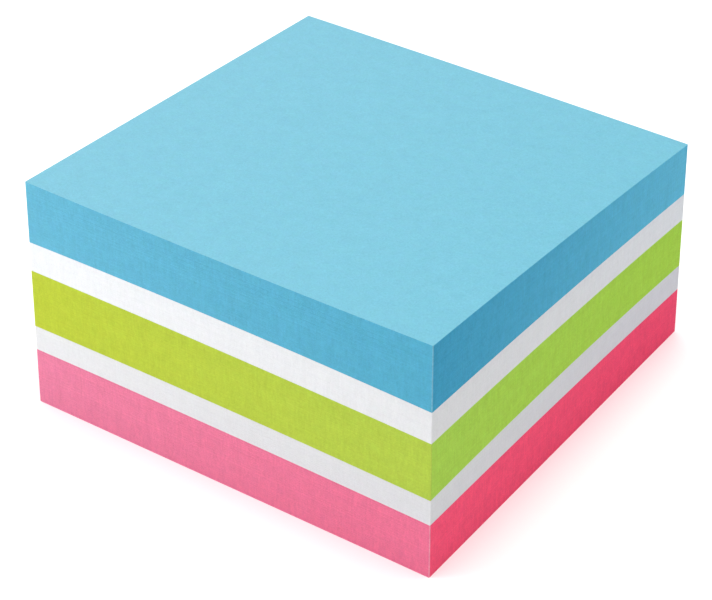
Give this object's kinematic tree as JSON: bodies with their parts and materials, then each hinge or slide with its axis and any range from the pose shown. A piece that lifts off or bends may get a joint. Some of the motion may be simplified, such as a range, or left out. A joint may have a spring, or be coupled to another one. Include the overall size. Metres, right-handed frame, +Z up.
{
  "type": "sticky note pad",
  "caption": "Square cube of self-stick notes in stacked bands of colour, trimmed flush, slightly thicker along its sticky edge.",
  "frame": {"origin": "middle of the flat underside, on the surface that the pad stands on", "axes": "+Z up through the pile of notes, +X along the sticky edge, +Y from the sticky edge to the free edge"},
  "size_m": [0.0766, 0.0766, 0.0428],
  "materials": {
    "pink_paper": "matte",
    "white_paper": "matte",
    "green_paper": "matte",
    "blue_paper": "matte"
  },
  "bodies": {
    "root": {"pink_notes": "pink_paper", "lower_white_notes": "white_paper", "green_notes": "green_paper", "upper_white_notes": "white_paper", "blue_notes": "blue_paper"}
  },
  "joints": []
}
